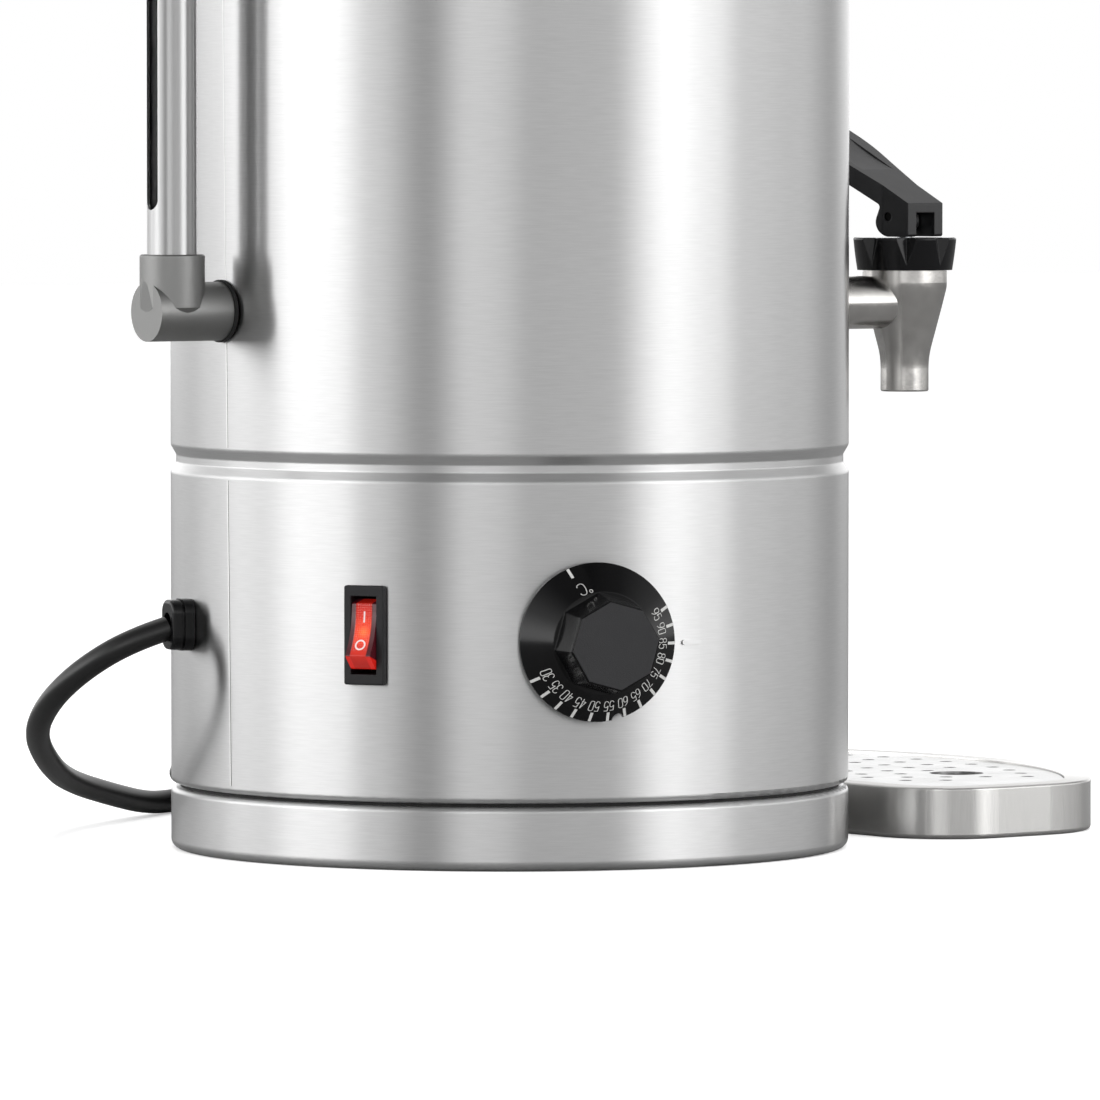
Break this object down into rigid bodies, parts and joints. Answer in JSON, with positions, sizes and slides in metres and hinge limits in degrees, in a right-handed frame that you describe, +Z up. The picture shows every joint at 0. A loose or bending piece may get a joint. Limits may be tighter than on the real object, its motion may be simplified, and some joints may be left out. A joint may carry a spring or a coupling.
{
  "type": "hot water urn",
  "caption": "Cylindrical stainless hot water urn with lever tap, water gauge, thermostat knob, lit rocker switch, lid, side handles and drip tray.",
  "frame": {"origin": "on the urn's axis, at the face of the base ring that rests on the table", "axes": "+Z up, +X from the axis towards the tap"},
  "size_m": [0.3849, 0.4199, 0.474],
  "materials": {
    "brushed_steel_ring": "brushed round the ring",
    "brushed_steel_shell": "brushed round the body",
    "brushed_steel_lid": "satin, spun",
    "brushed_steel_tray": "brushed upright",
    "grid_steel": "bright satin",
    "boiler_steel": "mill finish",
    "cast_steel": "bead-blasted casting",
    "guard_steel": "satin tube",
    "tap_steel": "satin casting",
    "zinc_steel": "zinc plated",
    "spring_steel": "drawn wire",
    "element_steel": "heat-dulled tube",
    "heater_aluminium": "cast",
    "pin_nickel": "nickel plated",
    "bulb_copper": "drawn copper",
    "gauge_glass": "clear tube",
    "black_plastic": "moulded, satin",
    "black_gloss_plastic": "moulded, glossy",
    "knob_matte_plastic": "fine matte",
    "dark_phenolic": "moulded",
    "red_lens": "translucent, lit",
    "white_plastic": "moulded",
    "wire_silicone": "silicone insulation",
    "clear_silicone": "moulded silicone",
    "black_rubber": "moulded",
    "black_rubber_plug": "moulded",
    "black_cord": "smooth sheath"
  },
  "bodies": {
    "urn": {"base_ring": "brushed_steel_ring", "base_seal": "black_rubber", "base_plate": "zinc_steel", "rubber_feet": "black_rubber", "base_screws": "zinc_steel", "base_brackets": "zinc_steel", "outer_shell": "brushed_steel_shell", "boiler_floor": "boiler_steel", "handle_front": "black_plastic", "handle_rear": "black_plastic", "handle_studs": "zinc_steel", "gauge_elbow_lower": "cast_steel", "gauge_elbow_upper": "cast_steel", "gauge_guard": "guard_steel", "gauge_glass": "gauge_glass", "gauge_gaskets": "black_rubber", "gauge_nuts": "boiler_steel", "tap_body": "tap_steel", "tap_outlet": "tap_steel", "tap_gasket": "black_rubber", "tap_nut": "boiler_steel", "tap_bonnet": "black_gloss_plastic", "tap_spring": "spring_steel", "thermostat_body": "dark_phenolic", "thermostat_nut": "zinc_steel", "switch_bezel": "black_plastic", "gland_body": "black_plastic", "gland_cap": "black_plastic", "gland_nut": "black_plastic", "heater_plate": "heater_aluminium", "heating_element": "element_steel", "overheat_cutout": "dark_phenolic", "temperature_bulb": "bulb_copper", "terminal_block": "white_plastic", "wiring": "wire_silicone", "inner_cord": "black_cord", "mains_cord": "black_cord", "cord_coil": "black_cord", "cord_tail": "black_cord", "plug": "black_rubber_plug", "plug_pins": "pin_nickel"},
    "dial": {"knob": "black_gloss_plastic", "knob_cap": "knob_matte_plastic", "thermostat_shaft": "zinc_steel"},
    "rocker": {"switch_rocker": "red_lens"},
    "valve": {"tap_seat_cup": "clear_silicone"},
    "stem": {"tap_stem": "zinc_steel", "lever_pin": "zinc_steel"},
    "lever": {"tap_lever": "black_plastic"},
    "lid_body": {"lid": "brushed_steel_lid", "lid_skirt": "boiler_steel", "lid_knob": "black_plastic", "lid_screw": "zinc_steel"},
    "tray": {"drip_tray": "brushed_steel_tray"},
    "grid": {"drip_grid": "grid_steel"}
  },
  "joints": [
    {"name": "stem_lift", "type": "slide", "parent": "urn", "child": "valve", "axis": [0, 0, 1], "range_m": [0, 0.0037], "stiffness_N_per_m": 100, "springref_m": -0.006, "deforming": ["tap_spring"]},
    {"name": "lever_swivel", "type": "hinge", "parent": "valve", "child": "stem", "pos_m": [0.1621, 0, 0.18], "axis": [0, 0, 1], "range_deg": [-242, 25]},
    {"name": "lever_tilt", "type": "hinge", "parent": "stem", "child": "lever", "pos_m": [0.1621, 0, 0.2081], "axis": [0.9483, 0.3173, 0], "range_deg": [0, 35]},
    {"name": "knob_turn", "type": "hinge", "parent": "urn", "child": "dial", "pos_m": [0, 0, 0.07405], "axis": [-0.342, -0.9397, 0], "range_deg": [-27, 247]},
    {"name": "rocker_toggle", "type": "hinge", "parent": "urn", "child": "rocker", "pos_m": [-0.09366, -0.05864, 0.0757], "axis": [0.5307, -0.8476, 0], "range_deg": [0, 34]},
    {"name": "lid_lift", "type": "slide", "parent": "urn", "child": "lid_body", "axis": [0, 0, 1], "range_m": [0, 0.12]},
    {"name": "tray_slide", "type": "slide", "parent": "urn", "child": "tray", "axis": [0.9976, 0.0698, 0], "range_m": [0, 0.08]},
    {"name": "grid_lift", "type": "slide", "parent": "tray", "child": "grid", "axis": [0, 0, 1], "range_m": [0, 0.06]}
  ],
  "couplings": [
    {"joint": "lever_tilt", "follows": "stem_lift", "rad_per_m": 165}
  ]
}
